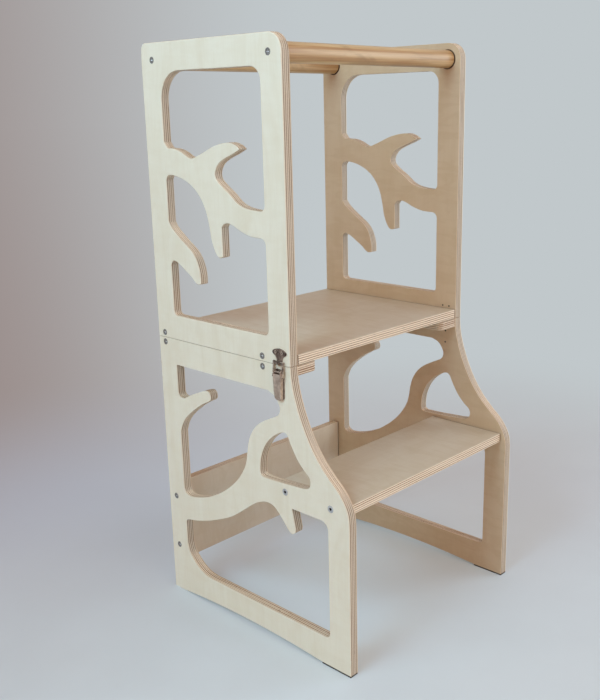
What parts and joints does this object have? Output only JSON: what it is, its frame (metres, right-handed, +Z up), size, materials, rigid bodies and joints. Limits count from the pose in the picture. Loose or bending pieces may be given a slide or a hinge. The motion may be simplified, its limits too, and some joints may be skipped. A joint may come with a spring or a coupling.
{
  "type": "learning tower",
  "caption": "Folding plywood learning tower for a child: branch-shaped cut-outs in the side panels, platform, step, round rails, and toggle latches at the split.",
  "frame": {"origin": "centre of the bounding box, on the floor", "axes": "+X across the tower to the right as seen from the front, +Y to the rear, +Z up; the front, where the step juts out, faces -Y"},
  "size_m": [0.4308, 0.4154, 0.9],
  "materials": {
    "panel_wood": "satin lacquered birch plywood with a pale greenish-white face",
    "board_wood": "satin lacquered birch plywood, warmer",
    "rail_wood": "oiled round beech",
    "pad_rubber": "matt",
    "screw_zinc": "grey zinc plate",
    "bolt_bright": "bright nickel plate",
    "latch_bronze": "antique bronze plate"
  },
  "bodies": {
    "base": {"lower_panel_left": "panel_wood", "lower_panel_right": "panel_wood", "step_board": "board_wood", "rear_board": "board_wood", "cleat_left": "board_wood", "cleat_right": "board_wood", "foot_pads": "pad_rubber", "cleat_screws": "screw_zinc", "step_bolts": "bolt_bright", "rear_board_screws": "screw_zinc", "hinge_lower_leaf_left": "bolt_bright", "hinge_lower_leaf_right": "bolt_bright", "hinge_pins": "screw_zinc", "hinge_lower_screws": "screw_zinc", "latch_base_left": "latch_bronze", "latch_base_right": "latch_bronze", "latch_base_screws": "latch_bronze", "latch_pivot_pins": "latch_bronze"},
    "top": {"upper_panel_left": "panel_wood", "upper_panel_right": "panel_wood", "platform": "board_wood", "front_rail": "rail_wood", "rear_rail": "rail_wood", "rail_screws": "screw_zinc", "platform_screws": "screw_zinc", "hinge_upper_leaf_left": "bolt_bright", "hinge_upper_leaf_right": "bolt_bright", "hinge_upper_screws": "screw_zinc", "catch_plate_left": "latch_bronze", "catch_plate_right": "latch_bronze", "catch_screws": "latch_bronze"},
    "lever_left": {"latch_lever_left": "latch_bronze"},
    "lever_right": {"latch_lever_right": "latch_bronze"},
    "bail_left": {"latch_bail_left": "latch_bronze"},
    "bail_right": {"latch_bail_right": "latch_bronze"}
  },
  "joints": [
    {"name": "fold", "type": "hinge", "parent": "base", "child": "top", "pos_m": [0, 0.20425, 0.4503], "axis": [-1, 0, 0], "range_deg": [0, 180]},
    {"name": "lever_left", "type": "hinge", "parent": "base", "child": "lever_left", "pos_m": [-0.2124, -0.07975, 0.4418], "axis": [0, 1, 0], "range_deg": [0, 95]},
    {"name": "lever_right", "type": "hinge", "parent": "base", "child": "lever_right", "pos_m": [0.2124, -0.07975, 0.4418], "axis": [0, -1, 0], "range_deg": [0, 95]},
    {"name": "bail_left", "type": "hinge", "parent": "lever_left", "child": "bail_left", "pos_m": [-0.2115, -0.07975, 0.43536], "axis": [0, 1, 0], "range_deg": [-76, 0]},
    {"name": "bail_right", "type": "hinge", "parent": "lever_right", "child": "bail_right", "pos_m": [0.2115, -0.07975, 0.43536], "axis": [0, -1, 0], "range_deg": [-76, 0]}
  ],
  "couplings": [
    {"joint": "bail_left", "follows": "lever_left", "ratio": -0.8},
    {"joint": "bail_right", "follows": "lever_right", "ratio": -0.8}
  ]
}
